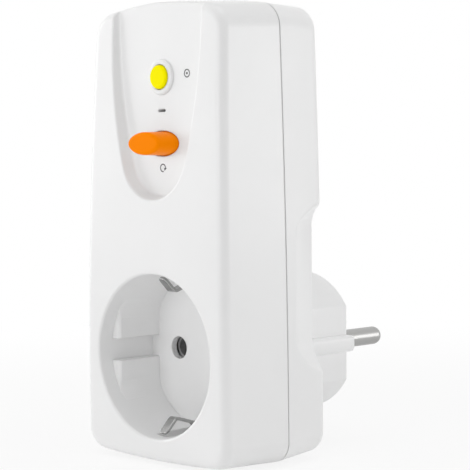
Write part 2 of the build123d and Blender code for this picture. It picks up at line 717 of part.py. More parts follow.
for name, side in SIDES.items():
    # Pin of the plug: a round tip, a shank in the plug's body, and a rivet that holds its supply bar
    with BuildPart() as plug_pin:
        pin_place = [(side * PIN_X, 0)]
        extrude(discs(-PIN_LENGTH, PIN_R, pin_place), amount=PIN_LENGTH - PIN_SHOULDER)
        fillet(plug_pin.edges().sort_by(Axis.Y)[-1], PIN_TIP)
        extrude(discs(-PIN_SHOULDER, PIN_SHANK_R, pin_place), amount=PIN_SHOULDER + PIN_BOSS_LEVEL)
        extrude(discs(PIN_BOSS_LEVEL, RIVET_R, pin_place), amount=STRIP)
        extrude(discs(PIN_BOSS_LEVEL + STRIP, RIVET_HEAD_R, pin_place), amount=RIVET_HEAD_HEIGHT)
    plug_pin.part.label = f"plug_pin_{name}"
    export_step(plug_pin.part, f"parts/plug_pin_{name}.step")

    # Receptacle behind one hole of the well: a tube slit from its rear end, so that it grips the pin
    with BuildPart() as socket_contact:
        length = RECEPTACLE_FRONT - RECEPTACLE_BACK
        extrude(discs(RECEPTACLE_BACK, RECEPTACLE_R, [(side * PIN_X, 0)]), amount=length)
        bore = discs(RECEPTACLE_BACK, RECEPTACLE_BORE_R, [(side * PIN_X, 0)])
        extrude(bore, amount=length, mode=Mode.SUBTRACT)
        slit = blocks(RECEPTACLE_BACK, RECEPTACLE_SLIT, 3 * RECEPTACLE_R, [(side * PIN_X, 0)])
        extrude(slit, amount=RECEPTACLE_SLIT_LENGTH, mode=Mode.SUBTRACT)
    socket_contact.part.label = f"socket_contact_{name}"
    export_step(socket_contact.part, f"parts/socket_contact_{name}.step")

    # Supply bar: from the pin along the rear wall, forwards through the ring, and out to a fixed contact
    with BuildPart() as supply_bar:
        back_route = [(side * PIN_X, 0), (side * LEG_X, LEG_Z)]
        extrude(bar(PIN_BOSS_LEVEL, CONDUCTOR_WIDTH, back_route), amount=STRIP)
        extrude(discs(PIN_BOSS_LEVEL, RIVET_HEAD_R + STRIP / 2, [(side * PIN_X, 0)]), amount=STRIP)
        extrude(discs(PIN_BOSS_LEVEL, RIVET_R, [(side * PIN_X, 0)]), amount=STRIP, mode=Mode.SUBTRACT)
        leg = blocks(PIN_BOSS_LEVEL, CONDUCTOR_WIDTH, STRIP, [(side * LEG_X, LEG_Z)])
        extrude(leg, amount=UNDER_BOARD + STRIP - PIN_BOSS_LEVEL)
        low_route = [(side * LEG_X, LEG_Z), (side * CONDUCTOR_X, RING_Z)]
        extrude(bar(UNDER_BOARD, CONDUCTOR_WIDTH, low_route), amount=STRIP)
        riser = blocks(UNDER_BOARD, CONDUCTOR_WIDTH, STRIP, [(side * CONDUCTOR_X, RING_Z)])
        extrude(riser, amount=BAR_FRONT - UNDER_BOARD)
        top_route = [(side * CONDUCTOR_X, RING_Z), (side * CONTACT_X, LOW_CONTACT_Z)]
        extrude(bar(BAR_BACK, CONDUCTOR_WIDTH, top_route), amount=STRIP)
        extrude(discs(BAR_FRONT, CONTACT_R, [(side * CONTACT_X, LOW_CONTACT_Z)]), amount=CONTACT_HEIGHT)
        foot = blocks(BOARD_FRONT, FOOT_WIDTH, STRIP, [(side * CONTACT_X, LOW_CONTACT_Z)])
        extrude(foot, amount=BAR_FRONT - BOARD_FRONT)
    supply_bar.part.label = f"supply_bar_{name}"
    export_step(supply_bar.part, f"parts/supply_bar_{name}.step")

    # Load bar: from the other fixed contact along the side of the board, down to the receptacle
    route = [
        (CONTACT_X, HIGH_CONTACT_Z),
        (BAR_OUTER_X, HIGH_CONTACT_Z),
        (BAR_OUTER_X, BAR_BEND_Z),
        (PIN_X, BAR_LOW_Z),
        (PIN_X, 0),
    ]
    with BuildPart() as load_bar:
        extrude(bar(BAR_BACK, BAR_WIDTH, [(side * x, z) for x, z in route]), amount=STRIP)
        extrude(discs(BAR_BACK, RECEPTACLE_R + BAR_WIDTH / 2, [(side * PIN_X, 0)]), amount=STRIP)
        extrude(discs(BAR_BACK, RECEPTACLE_R, [(side * PIN_X, 0)]), amount=STRIP, mode=Mode.SUBTRACT)
        extrude(discs(BAR_FRONT, CONTACT_R, [(side * CONTACT_X, HIGH_CONTACT_Z)]), amount=CONTACT_HEIGHT)
        foot = blocks(BOARD_FRONT, FOOT_WIDTH, STRIP, [(side * CONTACT_X, HIGH_CONTACT_Z)])
        extrude(foot, amount=BAR_FRONT - BOARD_FRONT)
    load_bar.part.label = f"load_bar_{name}"
    export_step(load_bar.part, f"parts/load_bar_{name}.step")

    # Bridge under one arm of the carrier: closes the gap between the two fixed contacts on its side
    with BuildPart() as contact_bridge:
        extrude(
            blocks(BRIDGE_BACK, BRIDGE_WIDTH, CONTACT_SPAN + BRIDGE_WIDTH, [(side * CONTACT_X, RESET_Z)]),
            amount=BRIDGE_THICKNESS,
        )
        fillet(contact_bridge.edges().filter_by(Axis.Y), BRIDGE_WIDTH / 4)
        ends = [(side * CONTACT_X, LOW_CONTACT_Z), (side * CONTACT_X, HIGH_CONTACT_Z)]
        extrude(discs(BRIDGE_BACK - CONTACT_HEIGHT, CONTACT_R, ends), amount=CONTACT_HEIGHT)
    contact_bridge.part.label = f"contact_bridge_{name}"
    export_step(contact_bridge.part, f"parts/contact_bridge_{name}.step")

# Earth strap of the socket: both bent clips in the well, and the web behind its floor
half_clip = [
    (-(WELL_FLOOR + CLIP_END), CLIP_Z),
    (-(WELL_FLOOR + CLIP_APEX), CLIP_APEX_Z),
    (-(WELL_FLOOR + CLIP_REST), CLIP_Z),
    (-(CUP_BACK - STRIP / 2), CLIP_Z),
]
with BuildPart() as socket_earth_strap:
    extrude(strip(half_clip + [(y, -z) for y, z in reversed(half_clip)]), amount=CLIP_WIDTH / 2, both=True)
socket_earth_strap.part.label = "socket_earth_strap"
export_step(socket_earth_strap.part, "parts/socket_earth_strap.step")

# Earth strap of the plug: both contacts in the plug's grooves, and the web on the rear wall
half_strap = [(-PLUG_CLIP_END, PLUG_R - STRIP / 2), (-(REAR_INSIDE + STRIP / 2), PLUG_R - STRIP / 2)]
with BuildPart() as plug_earth_strap:
    strap_route = half_strap + [(y, -z) for y, z in reversed(half_strap)]
    extrude(strip(strap_route, PLUG_STRIP_BEND), amount=CLIP_WIDTH / 2, both=True)
plug_earth_strap.part.label = "plug_earth_strap"
export_step(plug_earth_strap.part, "parts/plug_earth_strap.step")

# Post that joins both earth straps
with BuildPart() as earth_post:
    extrude(discs(REAR_INSIDE + STRIP, EARTH_POST_R, [(0, 0)]), amount=CUP_BACK - REAR_INSIDE - 2 * STRIP)
earth_post.part.label = "earth_post"
export_step(earth_post.part, "parts/earth_post.step")

# Circuit board
with BuildPart() as circuit_board:
    with BuildSketch(at(BOARD_BACK)):
        with BuildLine():
            Polyline(
                (-BOARD_LOW_HALF, BOARD_BOTTOM),
                (BOARD_LOW_HALF, BOARD_BOTTOM),
                (BOARD_LOW_HALF, BOARD_STEP_Z),
                (BOARD_HALF, BOARD_STEP_Z),
                (BOARD_HALF, BOARD_NOTCH_Z),
                (BOARD_TOP_HALF, BOARD_NOTCH_Z),
                (BOARD_TOP_HALF, BOARD_TOP),
                (-BOARD_TOP_HALF, BOARD_TOP),
                (-BOARD_TOP_HALF, BOARD_NOTCH_Z),
                (-BOARD_HALF, BOARD_NOTCH_Z),
                (-BOARD_HALF, BOARD_STEP_Z),
                (-BOARD_LOW_HALF, BOARD_STEP_Z),
                close=True,
            )
        make_face()
    extrude(amount=BOARD_THICKNESS)
    post_holes = discs(BOARD_BACK, POST_PIN_R + POST_PIN_CLEARANCE, POST_PLACES)
    extrude(post_holes, amount=BOARD_THICKNESS, mode=Mode.SUBTRACT)
    slot = blocks(BOARD_BACK, 2 * (CONDUCTOR_X + CONDUCTOR_WIDTH / 2 + GAP), STRIP + 2 * GAP, [(0, RING_Z)])
    extrude(slot, amount=BOARD_THICKNESS, mode=Mode.SUBTRACT)
circuit_board.part.label = "circuit_board"
export_step(circuit_board.part, "parts/circuit_board.step")

# Sensing ring: winding, case and core, each inside the one before
with BuildPart() as ring_winding:
    extrude(ring(WINDING_THICKNESS / 2), amount=RING_HEIGHT - WINDING_THICKNESS)
    with BuildSketch(at(BOARD_FRONT)):
        with Locations((0, RING_Z)):
            with PolarLocations((RING_R + RING_BORE_R) / 2, WINDING_TURNS):
                Rectangle(RING_R - RING_BORE_R, WINDING_THICKNESS)
    extrude(amount=RING_HEIGHT)
    extrude(ring(WINDING_THICKNESS), amount=RING_HEIGHT - 2 * WINDING_THICKNESS, mode=Mode.SUBTRACT)
ring_winding.part.label = "ring_winding"
export_step(ring_winding.part, "parts/ring_winding.step")

with BuildPart() as ring_case:
    extrude(ring(WINDING_THICKNESS), amount=RING_HEIGHT - 2 * WINDING_THICKNESS)
    extrude(ring(CASE_WALL), amount=RING_HEIGHT - 2 * CASE_WALL, mode=Mode.SUBTRACT)
ring_case.part.label = "ring_case"
export_step(ring_case.part, "parts/ring_case.step")

with BuildPart() as ring_core:
    extrude(ring(CASE_WALL), amount=RING_HEIGHT - 2 * CASE_WALL)
ring_core.part.label = "ring_core"
export_step(ring_core.part, "parts/ring_core.step")

# Holding coil: bobbin, winding and yoke
coil_place = [(0, RESET_Z)]
with BuildPart() as coil_bobbin:
    extrude(discs(BOARD_FRONT, BOBBIN_R, coil_place), amount=BOBBIN_FLANGE)
    extrude(discs(BOARD_FRONT, BOBBIN_CORE_R, coil_place), amount=BOBBIN_HEIGHT)
    extrude(discs(YOKE_BACK - BOBBIN_FLANGE, BOBBIN_R, coil_place), amount=BOBBIN_FLANGE)
    extrude(discs(BOARD_FRONT, BOBBIN_BORE_R, coil_place), amount=BOBBIN_HEIGHT, mode=Mode.SUBTRACT)
coil_bobbin.part.label = "coil_bobbin"
export_step(coil_bobbin.part, "parts/coil_bobbin.step")

with BuildPart() as coil_winding:
    extrude(discs(BOARD_FRONT + BOBBIN_FLANGE, COIL_R, coil_place), amount=BOBBIN_HEIGHT - 2 * BOBBIN_FLANGE)
    extrude(
        discs(BOARD_FRONT + BOBBIN_FLANGE, BOBBIN_CORE_R, coil_place),
        amount=BOBBIN_HEIGHT - 2 * BOBBIN_FLANGE,
        mode=Mode.SUBTRACT,
    )
coil_winding.part.label = "coil_winding"
export_step(coil_winding.part, "parts/coil_winding.step")

with BuildPart() as coil_yoke:
    extrude(blocks(YOKE_BACK, YOKE_WIDTH, 2 * YOKE_HALF, coil_place), amount=YOKE_THICKNESS)
    extrude(discs(YOKE_BACK, BOBBIN_BORE_R, coil_place), amount=YOKE_THICKNESS, mode=Mode.SUBTRACT)
    leg_z = YOKE_HALF - YOKE_THICKNESS / 2
    legs = blocks(BOARD_FRONT, YOKE_WIDTH, YOKE_THICKNESS, [(0, RESET_Z - leg_z), (0, RESET_Z + leg_z)])
    extrude(legs, amount=BOBBIN_HEIGHT)
coil_yoke.part.label = "coil_yoke"
export_step(coil_yoke.part, "parts/coil_yoke.step")

# Frame over the coil: guides the carrier's arms and both stems, and carries the buttons' springs
with BuildPart() as mechanism_frame:
    plate_width = 2 * (FRAME_INSIDE + FRAME_WALL)
    extrude(blocks(PLATE_BACK, plate_width, 2 * FRAME_HALF, coil_place), amount=FRAME_WALL)
    neck_middle = (0, (RESET_Z + FRAME_TOP) / 2)
    extrude(blocks(PLATE_BACK, 2 * FRAME_NECK_HALF, FRAME_TOP - RESET_Z, [neck_middle]), amount=FRAME_WALL)
    wall_x = FRAME_INSIDE + FRAME_WALL / 2
    walls = blocks(BOARD_FRONT, FRAME_WALL, 2 * FRAME_HALF, [(-wall_x, RESET_Z), (wall_x, RESET_Z)])
    extrude(walls, amount=PLATE_BACK - BOARD_FRONT)
    post_x = FRAME_NECK_HALF - FRAME_WALL / 2
    frame_posts = [(x, FRAME_TOP - FRAME_WALL) for x in (-post_x, post_x)]
    posts = blocks(BOARD_FRONT, FRAME_WALL, 2 * FRAME_WALL, frame_posts)
    extrude(posts, amount=PLATE_BACK - BOARD_FRONT)
    arm_slots = blocks(YOKE_TOP, 2 * plate_width, 2 * (ARM_HALF + ARM_CLEARANCE), coil_place)
    extrude(arm_slots, amount=HUB_BACK + ARM_THICKNESS + ARM_CLEARANCE - YOKE_TOP, mode=Mode.SUBTRACT)
    extrude(discs(PLATE_BACK, RESET_STEM_R + GAP, coil_place), amount=FRAME_WALL, mode=Mode.SUBTRACT)
    extrude(discs(PLATE_BACK, TEST_STEM_R + GAP, [(0, TEST_Z)]), amount=FRAME_WALL, mode=Mode.SUBTRACT)
    flag_hole = blocks(PLATE_BACK, FLAG_POST_WIDTH + 2 * GAP, FLAG_POST_HEIGHT + 2 * GAP, [(0, FLAG_Z)])
    extrude(flag_hole, amount=FRAME_WALL, mode=Mode.SUBTRACT)
mechanism_frame.part.label = "mechanism_frame"
export_step(mechanism_frame.part, "parts/mechanism_frame.step")

# Contact carrier: hub under the reset stem, an arm over each bridge, and the post of the flag
with BuildPart() as contact_carrier:
    extrude(discs(HUB_BACK, HUB_R, coil_place), amount=HUB_FRONT - HUB_BACK)
    arms = blocks(HUB_BACK, 2 * (CONTACT_X + BRIDGE_WIDTH / 2), 2 * ARM_HALF, coil_place)
    extrude(arms, amount=ARM_THICKNESS)
    flag_arm_top = FLAG_Z + FLAG_POST_HEIGHT / 2
    flag_arm = blocks(HUB_BACK, FLAG_POST_WIDTH, flag_arm_top - RESET_Z, [(0, (flag_arm_top + RESET_Z) / 2)])
    extrude(flag_arm, amount=ARM_THICKNESS)
    flag_post = blocks(HUB_BACK, FLAG_POST_WIDTH, FLAG_POST_HEIGHT, [(0, FLAG_Z)])
    extrude(flag_post, amount=FLAG_BACK - HUB_BACK)
    extrude(discs(HUB_BACK, HUB_POCKET_R, coil_place), amount=HUB_POCKET_DEPTH, mode=Mode.SUBTRACT)
contact_carrier.part.label = "contact_carrier"
export_step(contact_carrier.part, "parts/contact_carrier.step")

# Flag on the carrier's post: what shows in the slot between the buttons
with BuildPart() as indicator_flag:
    extrude(blocks(FLAG_BACK, FLAG_WIDTH, FLAG_HEIGHT, [(0, FLAG_Z)]), amount=FLANGE_FRONT - FLAG_BACK)
indicator_flag.part.label = "indicator_flag"
export_step(indicator_flag.part, "parts/indicator_flag.step")

# Plunger that the coil holds once the carrier has pushed it in
with BuildPart() as plunger:
    extrude(discs(PLUNGER_BACK, PLUNGER_R, coil_place), amount=HUB_BACK + HUB_POCKET_DEPTH - PLUNGER_BACK)
    chamfer(plunger.edges().sort_by(Axis.Y)[-1], length=PLUNGER_CHAMFER)
plunger.part.label = "plunger"
export_step(plunger.part, "parts/plunger.step")

# Reset button: oval cap that narrows forwards, flange behind the panel and stem
with BuildPart() as reset_button:
    cap_foot = reset_oval(FLANGE_FRONT, 0)
    cap_front = reset_oval(RECESS_FLOOR + RESET_PROUD, -RESET_DRAW)
    loft([cap_foot.face(), cap_front.face()], ruled=True)
    fillet(reset_button.faces().sort_by(Axis.Y)[0].edges(), RESET_ROUND)
    extrude(reset_oval(FLANGE_BACK, FLANGE_LIP), amount=FLANGE_THICKNESS)
    extrude(discs(HUB_FRONT + GAP, RESET_STEM_R, coil_place), amount=FLANGE_BACK - HUB_FRONT - GAP)
reset_button.part.label = "reset_button"
export_step(reset_button.part, "parts/reset_button.step")

# Test button: round cap, flange and stem
test_place = [(0, TEST_Z)]
with BuildPart() as test_button:
    extrude(discs(FLANGE_FRONT, TEST_R, test_place), amount=RECESS_FLOOR + TEST_PROUD - FLANGE_FRONT)
    fillet(test_button.edges().sort_by(Axis.Y)[0], TEST_ROUND)
    extrude(discs(FLANGE_BACK, TEST_R + FLANGE_LIP, test_place), amount=FLANGE_THICKNESS)
    extrude(discs(TEST_STEM_BACK, TEST_STEM_R, test_place), amount=FLANGE_BACK - TEST_STEM_BACK)
test_button.part.label = "test_button"
export_step(test_button.part, "parts/test_button.step")

# Springs under both buttons and under the carrier
SPRINGS = {
    "reset_spring": (
        RESET_SPRING_R,
        RESET_SPRING_WIRE,
        RESET_SPRING_TURNS,
        PLATE_FRONT,
        FLANGE_BACK,
        RESET_Z,
    ),
    "test_spring": (
        TEST_SPRING_R,
        TEST_SPRING_WIRE,
        TEST_SPRING_TURNS,
        PLATE_FRONT,
        FLANGE_BACK,
        TEST_Z,
    ),
    "carrier_spring": (
        CARRIER_SPRING_R,
        CARRIER_SPRING_WIRE,
        CARRIER_SPRING_TURNS,
        YOKE_TOP,
        HUB_BACK + HUB_POCKET_DEPTH,
        RESET_Z,
    ),
}
for name, values in SPRINGS.items():
    points, tangents = coil_points(*values)
    wire = values[1]
    print(name, "least gap", round(least_gap(points, wire), 2), "mm")
    with BuildPart() as spring:
        with BuildLine() as path:
            for start, end, start_way, end_way in zip(points, points[1:], tangents, tangents[1:]):
                biarc(start, end, start_way, end_way)
        with BuildSketch(Plane(points[0], z_dir=tangents[0])):
            Circle(wire / 2)
        sweep()
    spring.part.label = name
    export_step(spring.part, f"parts/{name}.step")

# Leaf that the test stem would press onto its terminal
with BuildPart() as test_leaf:
    leaf_middle = LEAF_FRONT - LEAF_THICKNESS / 2
    leaf_route = [(-BOARD_FRONT, LEAF_FOOT_Z), (-leaf_middle, LEAF_FOOT_Z), (-leaf_middle, LEAF_TIP_Z)]
    extrude(strip(leaf_route, STRIP_BEND, LEAF_THICKNESS), amount=LEAF_WIDTH / 2, both=True)
test_leaf.part.label = "test_leaf"
export_step(test_leaf.part, "parts/test_leaf.step")

with BuildPart() as test_terminal:
    terminal_place = [(0, LEAF_TIP_Z + TERMINAL_R)]
    terminal_top = LEAF_FRONT - LEAF_THICKNESS - GAP
    extrude(discs(BOARD_FRONT, TERMINAL_R, terminal_place), amount=terminal_top - BOARD_FRONT)
test_terminal.part.label = "test_terminal"
export_step(test_terminal.part, "parts/test_terminal.step")

# Small parts on the board
with BuildPart() as varistor:
    with BuildSketch(Plane.XY.offset(VARISTOR_Z - VARISTOR_THICKNESS / 2)):
        with Locations((VARISTOR_X, -(BOARD_FRONT + LEAD_LENGTH + VARISTOR_R))):
            Circle(VARISTOR_R)
    extrude(amount=VARISTOR_THICKNESS)
    fillet(varistor.edges().filter_by(GeomType.CIRCLE), VARISTOR_ROUND)
    lead_places = [(VARISTOR_X + LEAD_PITCH / 2, VARISTOR_Z), (VARISTOR_X - LEAD_PITCH / 2, VARISTOR_Z)]
    extrude(discs(BOARD_FRONT, LEAD_R, lead_places), amount=LEAD_LENGTH + VARISTOR_R)
varistor.part.label = "varistor"
export_step(varistor.part, "parts/varistor.step")

with BuildPart() as capacitor:
    capacitor_section = blocks(BOARD_FRONT, CAPACITOR_WIDTH, CAPACITOR_HEIGHT, [(-VARISTOR_X, VARISTOR_Z)])
    extrude(capacitor_section, amount=CAPACITOR_DEPTH)
    fillet(capacitor.faces().sort_by(Axis.Y)[0].edges(), CAPACITOR_ROUND)
capacitor.part.label = "capacitor"
export_step(capacitor.part, "parts/capacitor.step")

with BuildPart() as resistors:
    for x, z in RESISTOR_PLACES:
        with BuildSketch(Plane.XY.offset(z - RESISTOR_LENGTH / 2)):
            with Locations((x, -(BOARD_FRONT + RESISTOR_R))):
                Circle(RESISTOR_R)
        extrude(amount=RESISTOR_LENGTH)
resistors.part.label = "resistors"
export_step(resistors.part, "parts/resistors.step")

with BuildPart() as control_chip:
    extrude(blocks(BOARD_FRONT + GAP, CHIP_WIDTH, CHIP_LENGTH, [(CHIP_X, CHIP_Z)]), amount=CHIP_DEPTH)
    leg_places = [
        (CHIP_X + side * (CHIP_WIDTH / 2 + CHIP_LEG / 2), CHIP_Z + step * CHIP_LEG_PITCH)
        for side in SIDES.values()
        for step in (-1, 0, 1)
    ]
    extrude(blocks(BOARD_FRONT, CHIP_LEG, CHIP_LEG, leg_places), amount=CHIP_DEPTH / 2)
control_chip.part.label = "control_chip"
export_step(control_chip.part, "parts/control_chip.step")
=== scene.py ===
"""Look of the residual current device adapter: materials, small pieces, light and camera."""

import json
import math

import bmesh
import bpy
from mathutils import Matrix, Vector


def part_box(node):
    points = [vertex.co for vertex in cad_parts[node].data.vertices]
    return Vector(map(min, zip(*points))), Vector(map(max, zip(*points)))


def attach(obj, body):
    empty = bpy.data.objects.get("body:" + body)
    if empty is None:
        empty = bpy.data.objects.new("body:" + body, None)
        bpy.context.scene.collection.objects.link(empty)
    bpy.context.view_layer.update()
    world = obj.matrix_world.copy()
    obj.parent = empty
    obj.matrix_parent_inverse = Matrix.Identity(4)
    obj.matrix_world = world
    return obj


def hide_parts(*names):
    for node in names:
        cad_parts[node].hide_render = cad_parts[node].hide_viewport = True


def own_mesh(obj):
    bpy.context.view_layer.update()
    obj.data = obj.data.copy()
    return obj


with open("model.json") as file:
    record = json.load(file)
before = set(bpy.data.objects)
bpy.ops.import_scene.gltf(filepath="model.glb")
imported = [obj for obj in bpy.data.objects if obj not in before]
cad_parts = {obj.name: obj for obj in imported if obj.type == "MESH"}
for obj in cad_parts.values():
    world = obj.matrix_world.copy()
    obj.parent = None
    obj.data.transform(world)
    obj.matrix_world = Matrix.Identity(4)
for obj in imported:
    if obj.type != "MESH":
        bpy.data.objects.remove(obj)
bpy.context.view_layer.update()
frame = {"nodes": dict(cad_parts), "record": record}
nodes = frame["nodes"]
scene = bpy.context.scene

# Lengths are in metres and angles in degrees, unless a name says otherwise.

# Camera of the photograph
IMAGE_PX = 470
FOCAL_PX = 1599.703
SENSOR_MM = 36.0
CAMERA_TARGET = Vector((-0.000619, -0.02543, 0.028868))
CAMERA_AZIMUTH = 45.521
CAMERA_ELEVATION = 2.922
CAMERA_ROLL = -0.466
CAMERA_DISTANCE = 0.413509
CLIP_NEAR = 0.01
CLIP_FAR = 20

# Floor just under the part: it takes the shadow near the part and is white further off
FLOOR_Z = -0.0269
FLOOR_HALF = 3.0
FLOOR_COLOR = (0.97, 0.97, 0.97)
SHADOW_RADIUS = 0.06
WHITE_RADIUS = 0.3
GLOW_NEAR = 0.85

# Light: the world's strength, and each lamp's place, width and height, and watts
WORLD_LEVEL = 0.38
LAMP_TARGET = (0, -0.03, 0.03)
LAMPS = {
    "left_softbox": ((-0.95, -0.45, 0.2), (0.7, 0.5), 2.6),
    "front_softbox": ((-0.1, -1.1, 0.16), (0.7, 0.35), 2.3),
    "right_softbox": ((0.8, 0.6, 0.16), (0.7, 0.35), 2.4),
    "top_softbox": ((0.1, -0.1, 1.1), (0.9, 0.9), 3.7),
}

# Noise that all materials share; its scales are cycles per metre, before any stretch
COLOR_DETAIL = 3.0
RELIEF_DETAIL = 2.0
RAMP_ENDS = (0.3, 0.7)
EVEN = (1, 1, 1)
ALONG_DEPTH = (1, 0.05, 1)
ALONG_CLIP = (1, 0.1, 1)
RELIEF_DEPTH = 0.00002

# Plastics
PLASTIC_IOR = 1.5
FLOW_SPREAD = 0.012
FLOW_SCALE = 60
GLOSS_SPREAD = 0.04
GLOSS_SCALE = 220
GRAIN_SCALE = 5000
SOFT_EDGE_SAMPLES = 6
WHITE = (0.95, 0.95, 0.95)
WHITE_ROUGHNESS = 0.3
PLASTICS = {
    "white_plastic": dict(color=WHITE, roughness=WHITE_ROUGHNESS, soft_edge=0.0005),
    "corner_plastic": dict(color=WHITE, roughness=WHITE_ROUGHNESS),
    "dark_plastic": dict(color=(0.012, 0.012, 0.013), roughness=0.6, grain=0.1, shine=0.2),
    "grey_plastic": dict(color=(0.33, 0.34, 0.35), roughness=0.42, grain=0.1),
    "grey_print": dict(color=(0.12, 0.12, 0.125), roughness=0.6, grain=0.1),
    "component_blue": dict(color=(0.02, 0.10, 0.36), roughness=0.38, grain=0.2),
    "component_tan": dict(color=(0.5, 0.35, 0.18), roughness=0.4, grain=0.1),
}

# Dyed plastics: hardly any shine, a painted glow in their own colour, and a paler colour for the
# light they bounce
DYE_SHINE = 0.02
PAINTED_GLOW = 0.12
BOUNCE_COLOR = (0.52, 0.54, 0.56)
PLASTICS_WITH_PAINTED_GLOW = {
    "yellow_plastic": dict(color=(1.0, 0.9, 0.0), roughness=0.32),
    "orange_plastic": dict(color=(1.0, 0.25, 0.0), roughness=0.34),
}

# Metals
TARNISH_SPREAD = 0.05
TARNISH_SCALE = 300
SMOOTHER = 0.06
ROUGHER = 0.08
METALS = {
    "nickel_plate": dict(
        color=(0.39, 0.388, 0.382), roughness=0.36, stretch=ALONG_DEPTH, grain=0.03
    ),
    "clip_nickel": dict(
        color=(0.42, 0.42, 0.415), roughness=0.14, stretch=ALONG_CLIP, scale=1500, grain=0.08
    ),
    "brass": dict(color=(0.75, 0.55, 0.25), roughness=0.3),
    "tinned_brass": dict(color=(0.8, 0.8, 0.8), roughness=0.5),
    "copper": dict(color=(0.62, 0.25, 0.1), roughness=0.35, scale=2500, grain=0.5),
    "steel": dict(color=(0.52, 0.52, 0.53), roughness=0.32),
}
TINNED_NODES = ("socket_contact_left", "socket_contact_right")

# Circuit board, whose tracks run along its height
BOARD_COLOR = (0.03, 0.16, 0.06)
BOARD_ROUGHNESS = 0.35
BOARD_SPREAD = 0.25
BOARD_SCALE = 260
BOARD_STRETCH = (1, 1, 0.3)
TRACK_STRENGTH = 0.3
TRACK_DEPTH = 0.00005
TRACK_SCALE = 700
TRACK_STRETCH = (1, 1, 0.2)

# Edges whose faces turn by more than this stay sharp
SHARP_ANGLE = 40

# Earth strap of the socket: one bent strip with a narrow rounded clip at both ends.
# The route gives (y, z) from the lower clip's tip inwards, and the upper half mirrors it.
STRAP_THICKNESS = 0.0008
STRAP_HALF = 0.0013
STRAP_BEND = 0.0016
STRAP_EDGE = 0.00015
EDGE_SEGMENTS = 2
BEND_STEPS = 6
TIP_STEPS = 5
STRAP_HALF_ROUTE = [
    (-0.05165, -0.0195),
    (-0.0480, -0.01585),
    (-0.0412, -0.0179),
    (-0.0395, -0.0203),
    (-0.03465, -0.0203),
]

# Rounded corners between the well's flats and its round wall, from the floor to the flats' ends
WELL_R = 0.0199
WELL_DRAFT = 1.6
WELL_TAPER = math.tan(math.radians(WELL_DRAFT))
WELL_FLOOR_Y = -0.03725
FLAT_X = 0.0172
FLAT_HEIGHT = 0.01335
FLAT_SLANT = 0.0006
CORNER_R = 0.008
CORNER_DEPTH = 0.002
CORNER_STEPS = 12

# Generic printed signs by the buttons: a ring with a dot for the test, and a turning arrow for the
# reset. Each sign's place is (x, z) on the recessed panel.
PANEL_Y = -0.0509
TEST_SIGN = (0.0092, 0.0694)
RESET_SIGN = (0.0002, 0.0465)
PRINT_PROUD = 0.00003
PRINT_SUNK = 0.00002
PRINT_R = 0.00105
PRINT_LINE = 0.00028
DOT_R = 0.0003
FULL_TURN = 360
ARROW_TURN = 285
ARROW_HALF = 0.0005
ARROW_LENGTH = 0.0008
SIGN_STEPS = 40

# Springs drawn as open coils in place of their nodes: body, joint, wire and turns
SPRINGS = {
    "reset_spring": ("reset_button", "reset_press", 0.0005, 3),
    "test_spring": ("test_button", "test_press", 0.0004, 4),
    "carrier_spring": ("carrier", "carrier_slide", 0.0006, 3),
}
TURN_STEPS = 28
WIRE_SIDES = 12


class Nodes:
    """Short way to write a material's nodes."""

    def __init__(self, tree):
        self.tree = tree
        tree.nodes.clear()

    def add(self, kind, **values):
        node = self.tree.nodes.new(kind)
        for key, value in values.items():
            setattr(node, key, value)
        return node

    def link(self, start, end):
        self.tree.links.new(start, end)


def new_material(name, color, roughness, **shader):
    """Material with one shader, whose sockets take the given plain values."""
    material = bpy.data.materials.new(name)
    material.use_nodes = True
    net = Nodes(material.node_tree)
    output = net.add("ShaderNodeOutputMaterial")
    bsdf = net.add("ShaderNodeBsdfPrincipled")
    net.link(bsdf.outputs["BSDF"], output.inputs["Surface"])
    bsdf.inputs["Base Color"].default_value = (*color, 1)
    bsdf.inputs["Roughness"].default_value = roughness
    for key, value in shader.items():
        bsdf.inputs[key.replace("_", " ")].default_value = value
    return material, net, bsdf


def noise(net, scale, detail, stretch):
    """Noise in object coordinates, so that it keeps its place on the part."""
    place = net.add("ShaderNodeTexCoord")
    mapping = net.add("ShaderNodeMapping")
    mapping.inputs["Scale"].default_value = stretch
    texture = net.add("ShaderNodeTexNoise")
    texture.inputs["Scale"].default_value = scale
    texture.inputs["Detail"].default_value = detail
    net.link(place.outputs["Object"], mapping.inputs["Vector"])
    net.link(mapping.outputs["Vector"], texture.inputs["Vector"])
    return texture.outputs["Fac"]


def vary_color(net, bsdf, color, spread, scale, stretch=EVEN):
    """Slow change of the base colour around its mean."""
    ramp = net.add("ShaderNodeValToRGB")
    low, high = ramp.color_ramp.elements
    low.position, high.position = RAMP_ENDS
    low.color = (*[c * (1 - spread) for c in color], 1)
    high.color = (*[min(1, c * (1 + spread)) for c in color], 1)
    net.link(noise(net, scale, COLOR_DETAIL, stretch), ramp.inputs["Fac"])
    net.link(ramp.outputs["Color"], bsdf.inputs["Base Color"])


def vary_roughness(net, bsdf, low, high, scale, stretch=EVEN):
    """Change of the gloss between two roughnesses."""
    spread = net.add("ShaderNodeMapRange")
    spread.inputs["To Min"].default_value = low
    spread.inputs["To Max"].default_value = high
    net.link(noise(net, scale, COLOR_DETAIL, stretch), spread.inputs["Value"])
    net.link(spread.outputs["Result"], bsdf.inputs["Roughness"])


def bump(net, bsdf, strength, depth, scale, stretch=EVEN, soft_edge=0.0):
    """Fine relief, over edges that look rounded by soft_edge."""
    relief = net.add("ShaderNodeBump")
    if soft_edge:
        edge = net.add("ShaderNodeBevel")
        edge.samples = SOFT_EDGE_SAMPLES
        edge.inputs["Radius"].default_value = soft_edge
        net.link(edge.outputs["Normal"], relief.inputs["Normal"])
    relief.inputs["Strength"].default_value = strength
    relief.inputs["Distance"].default_value = depth
    net.link(noise(net, scale, RELIEF_DETAIL, stretch), relief.inputs["Height"])
    net.link(relief.outputs["Normal"], bsdf.inputs["Normal"])


